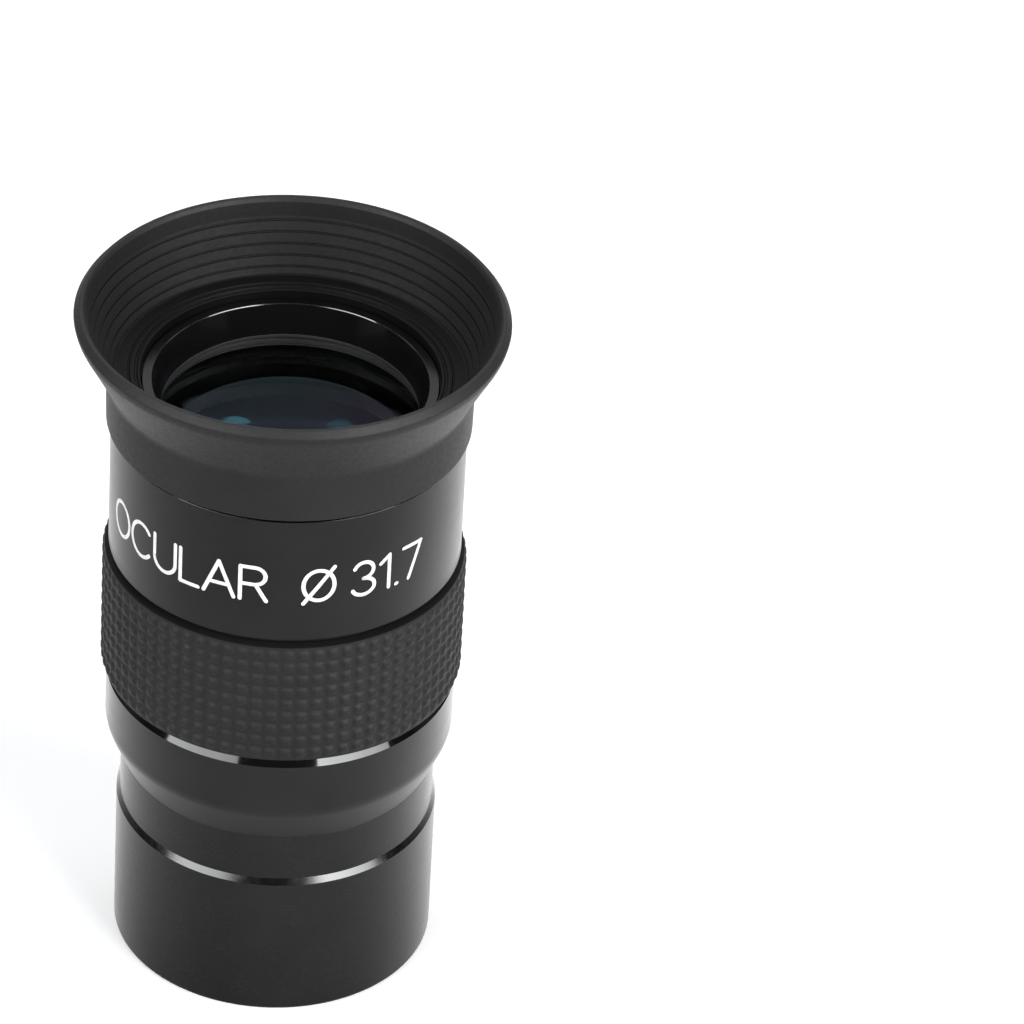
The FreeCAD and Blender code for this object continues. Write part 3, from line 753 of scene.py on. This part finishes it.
def marking():
    """Raised white lettering wrapped round the crown, read from -Y."""
    verts, faces = [], []

    def stroke(path):
        stations, closed = stroke_stations(path)
        first, size, count = len(verts), len(SECTION), len(stations)
        for centre, direction, scale in stations:
            side = np.array([direction[1], -direction[0]])
            for across, lift in SECTION:
                x, y = centre + side * across * scale * HALF_STROKE
                angle = x / CROWN_R
                r = CROWN_R + (PAINT_PROUD * lift if lift > 0 else lift)
                verts.append((r * math.sin(angle) * MM, -r * math.cos(angle) * MM,
                              (LETTER_BASE + y) * MM))
        for i in range(count if closed else count - 1):
            here, there = first + i * size, first + (i + 1) % count * size
            for k in range(size):
                j = (k + 1) % size
                faces.append((here + k, here + j, there + j, there + k))
        if not closed:
            last = first + (count - 1) * size
            faces.append(tuple(first + k for k in reversed(range(size))))
            faces.append(tuple(last + k for k in range(size)))

    def write(glyphs, start_angle, gap):
        """Writes towards +X from start_angle, in degrees from -Y."""
        start = math.radians(start_angle) * CROWN_R
        for glyph in glyphs:
            if glyph == " ":
                start += SPACE
                continue
            width, paths = GLYPHS[glyph]
            for path in paths:
                stroke([(start + x * LETTER_HEIGHT, y * LETTER_HEIGHT) for x, y in path])
            start += width * LETTER_HEIGHT + gap

    write("OCULAR", start_angle=-71.0, gap=0.62)
    write(["dia", " ", "3", "1", ".", "7"], start_angle=6.0, gap=0.66)
    mesh = new_mesh("marking_paint", verts, faces)
    shell = bmesh.new()
    shell.from_mesh(mesh)
    bmesh.ops.recalc_face_normals(shell, faces=shell.faces)
    shell.to_mesh(mesh)
    shell.free()
    shade_smooth(mesh)
    obj = add_object("marking_paint", mesh)
    mesh.materials.append(PAINT)
    place(obj, "main_body")


# ------------------------------------------------------------------ stage
def floor_paper():
    """Pale paper to the camera, clear from below; to glossy rays a shaped glow, a painted reflection
    that is dimmed near the barrel as a painted contact shadow.
    """
    net = material_graph("floor_paper")
    soft = net.noise(scale=900.0, detail=3.0, rough=0.5)
    paper = net.node(
        "ShaderNodeBsdfPrincipled", Roughness=0.8, Specular_IOR_Level=0.2,
        Base_Color=net.mix(soft, (0.86, 0.865, 0.87, 1), (0.88, 0.885, 0.89, 1)))
    rays = net.node("ShaderNodeLightPath").outputs
    way = net.split(net.node("ShaderNodeNewGeometry").outputs["Incoming"])
    far, _ = net.radius_height()
    back = net.math("POWER", net.remap(way[1], (0.85, -0.75)), 2.0)
    glow = net.plus(net.times(back, 2.2), 0.54)
    for value, span, gain in (
            (way[2], (0.08, 0.50), (0.12, 1.0)),        # dimmer at grazing angles
            (far, (0.017, 0.050), (0.46, 1.0)),         # dimmer close to the barrel: a painted contact shadow
            (far, (0.045, 0.085), (1.0, 0.66)),         # and again farther out
            (way[0], (0.05, 0.50), (1.0, 0.74))):       # dimmer for rays leaving towards +X
        glow = net.times(glow, net.remap(value, span, to=gain))
    painted_floor_reflection = net.node("ShaderNodeEmission", Strength=glow)
    lift = net.node("ShaderNodeEmission", Strength=net.times(rays["Is Camera Ray"], 0.34))
    paper = net.node("ShaderNodeAddShader", paper, lift)
    glossy = net.times(rays["Is Glossy Ray"], net.math("GREATER_THAN", far, 0.0156))
    both = net.node("ShaderNodeMixShader", glossy, paper, painted_floor_reflection)
    under = net.node("ShaderNodeNewGeometry").outputs["Backfacing"]
    clear = net.node("ShaderNodeBsdfTransparent")
    return net.finish(net.node("ShaderNodeMixShader", under, both, clear))


def build_floor():
    radius, height, sides = 2.5, -0.00002, 128      # metres
    rim = [(radius * math.cos(TAU * k / sides), radius * math.sin(TAU * k / sides), height)
           for k in range(sides)]
    floor = add_object("floor", new_mesh("floor", rim, [tuple(range(sides))]))
    floor.data.materials.append(floor_paper())


def softbox(name, azimuth, elevation, distance, wide, high, radiance, fall=0.0):
    """A rectangular light aimed at the eyepiece. Azimuth 0 is the camera's side (-Y), positive
    towards +X. fall is how much the light drops across its width."""
    aim = Vector((0, 0, 0.036))
    turn, rise = math.radians(azimuth), math.radians(elevation)
    at = aim + distance * Vector((math.sin(turn) * math.cos(rise),
                                  -math.cos(turn) * math.cos(rise), math.sin(rise)))
    data = bpy.data.lights.new(name, "AREA")
    data.shape = "RECTANGLE"
    data.size, data.size_y = wide, high
    data.energy = radiance * math.pi * wide * high
    if fall:
        net = Graph(data)
        across = net.split(net.node("ShaderNodeNewGeometry").outputs["Parametric"])[0]
        slope = net.remap(across, (0.0, 1.0), to=(1.0 + fall, 1.0 - fall))
        net.fill(net.tree.nodes["Emission"], Strength=slope)
    lamp = add_object(name, data)
    lamp.location = at
    lamp.rotation_euler = (aim - at).to_track_quat("-Z", "Y").to_euler()


def build_world():
    """A pale backdrop to the camera; for all other rays, brighter behind (+Y) and overhead."""
    world = bpy.data.worlds.new("studio")
    scene.world = world
    net = Graph(world, "ShaderNodeOutputWorld")
    _, y, z = net.split(net.node("ShaderNodeTexCoord").outputs["Generated"])
    ramp = net.node("ShaderNodeValToRGB", y)
    stops = ((0.0, (0.075, 0.075, 0.077, 1)), (0.6, (0.75, 0.76, 0.78, 1)))
    for element, (position, colour) in zip(ramp.color_ramp.elements, stops):
        element.position = position
        element.color = colour
    rise = net.remap(z, (0.02, 0.42), to=(0.12, 1.0))
    room = net.node("ShaderNodeBackground", Color=ramp, Strength=rise)
    pale = net.node("ShaderNodeBackground", Color=(0.9, 0.91, 0.92, 1), Strength=1.6)
    seen = net.node("ShaderNodeLightPath").outputs["Is Camera Ray"]
    net.finish(net.node("ShaderNodeMixShader", seen, room, pale))


def build_camera():
    right = Vector((0.99874, -0.00693, 0.04973))
    look = Vector((0.03432, 0.81718, -0.57538))
    look.normalize()
    right = (right - look * right.dot(look)).normalized()
    up = right.cross(look)
    data = bpy.data.cameras.new("camera")
    data.lens = 231.183984
    data.sensor_width = 36
    data.clip_start = 0.01
    data.clip_end = 20
    camera = bpy.data.objects.new("camera", data)
    at = (0.0, -0.51929, 0.41563)
    rows = [(right[i], up[i], -look[i], at[i]) for i in range(3)]
    camera.matrix_world = Matrix((*rows, (0, 0, 0, 1)))
    scene.collection.objects.link(camera)
    scene.camera = camera


for build in (nosepiece, housing, eyecup, grip_ring, optics_cell, eye_lens_seat, matt_rings,
              optics, marking, build_floor):
    build()
softbox("box_left", azimuth=-49, elevation=24, distance=0.75, wide=0.57, high=0.70, radiance=3.9,
        fall=0.25)
softbox("box_right", azimuth=50, elevation=24, distance=0.75, wide=0.57, high=0.70, radiance=5.8,
        fall=0.35)
softbox("box_top", azimuth=180, elevation=70, distance=0.80, wide=0.80, high=0.60, radiance=0.9)
build_world()
build_camera()

bpy.context.view_layer.update()
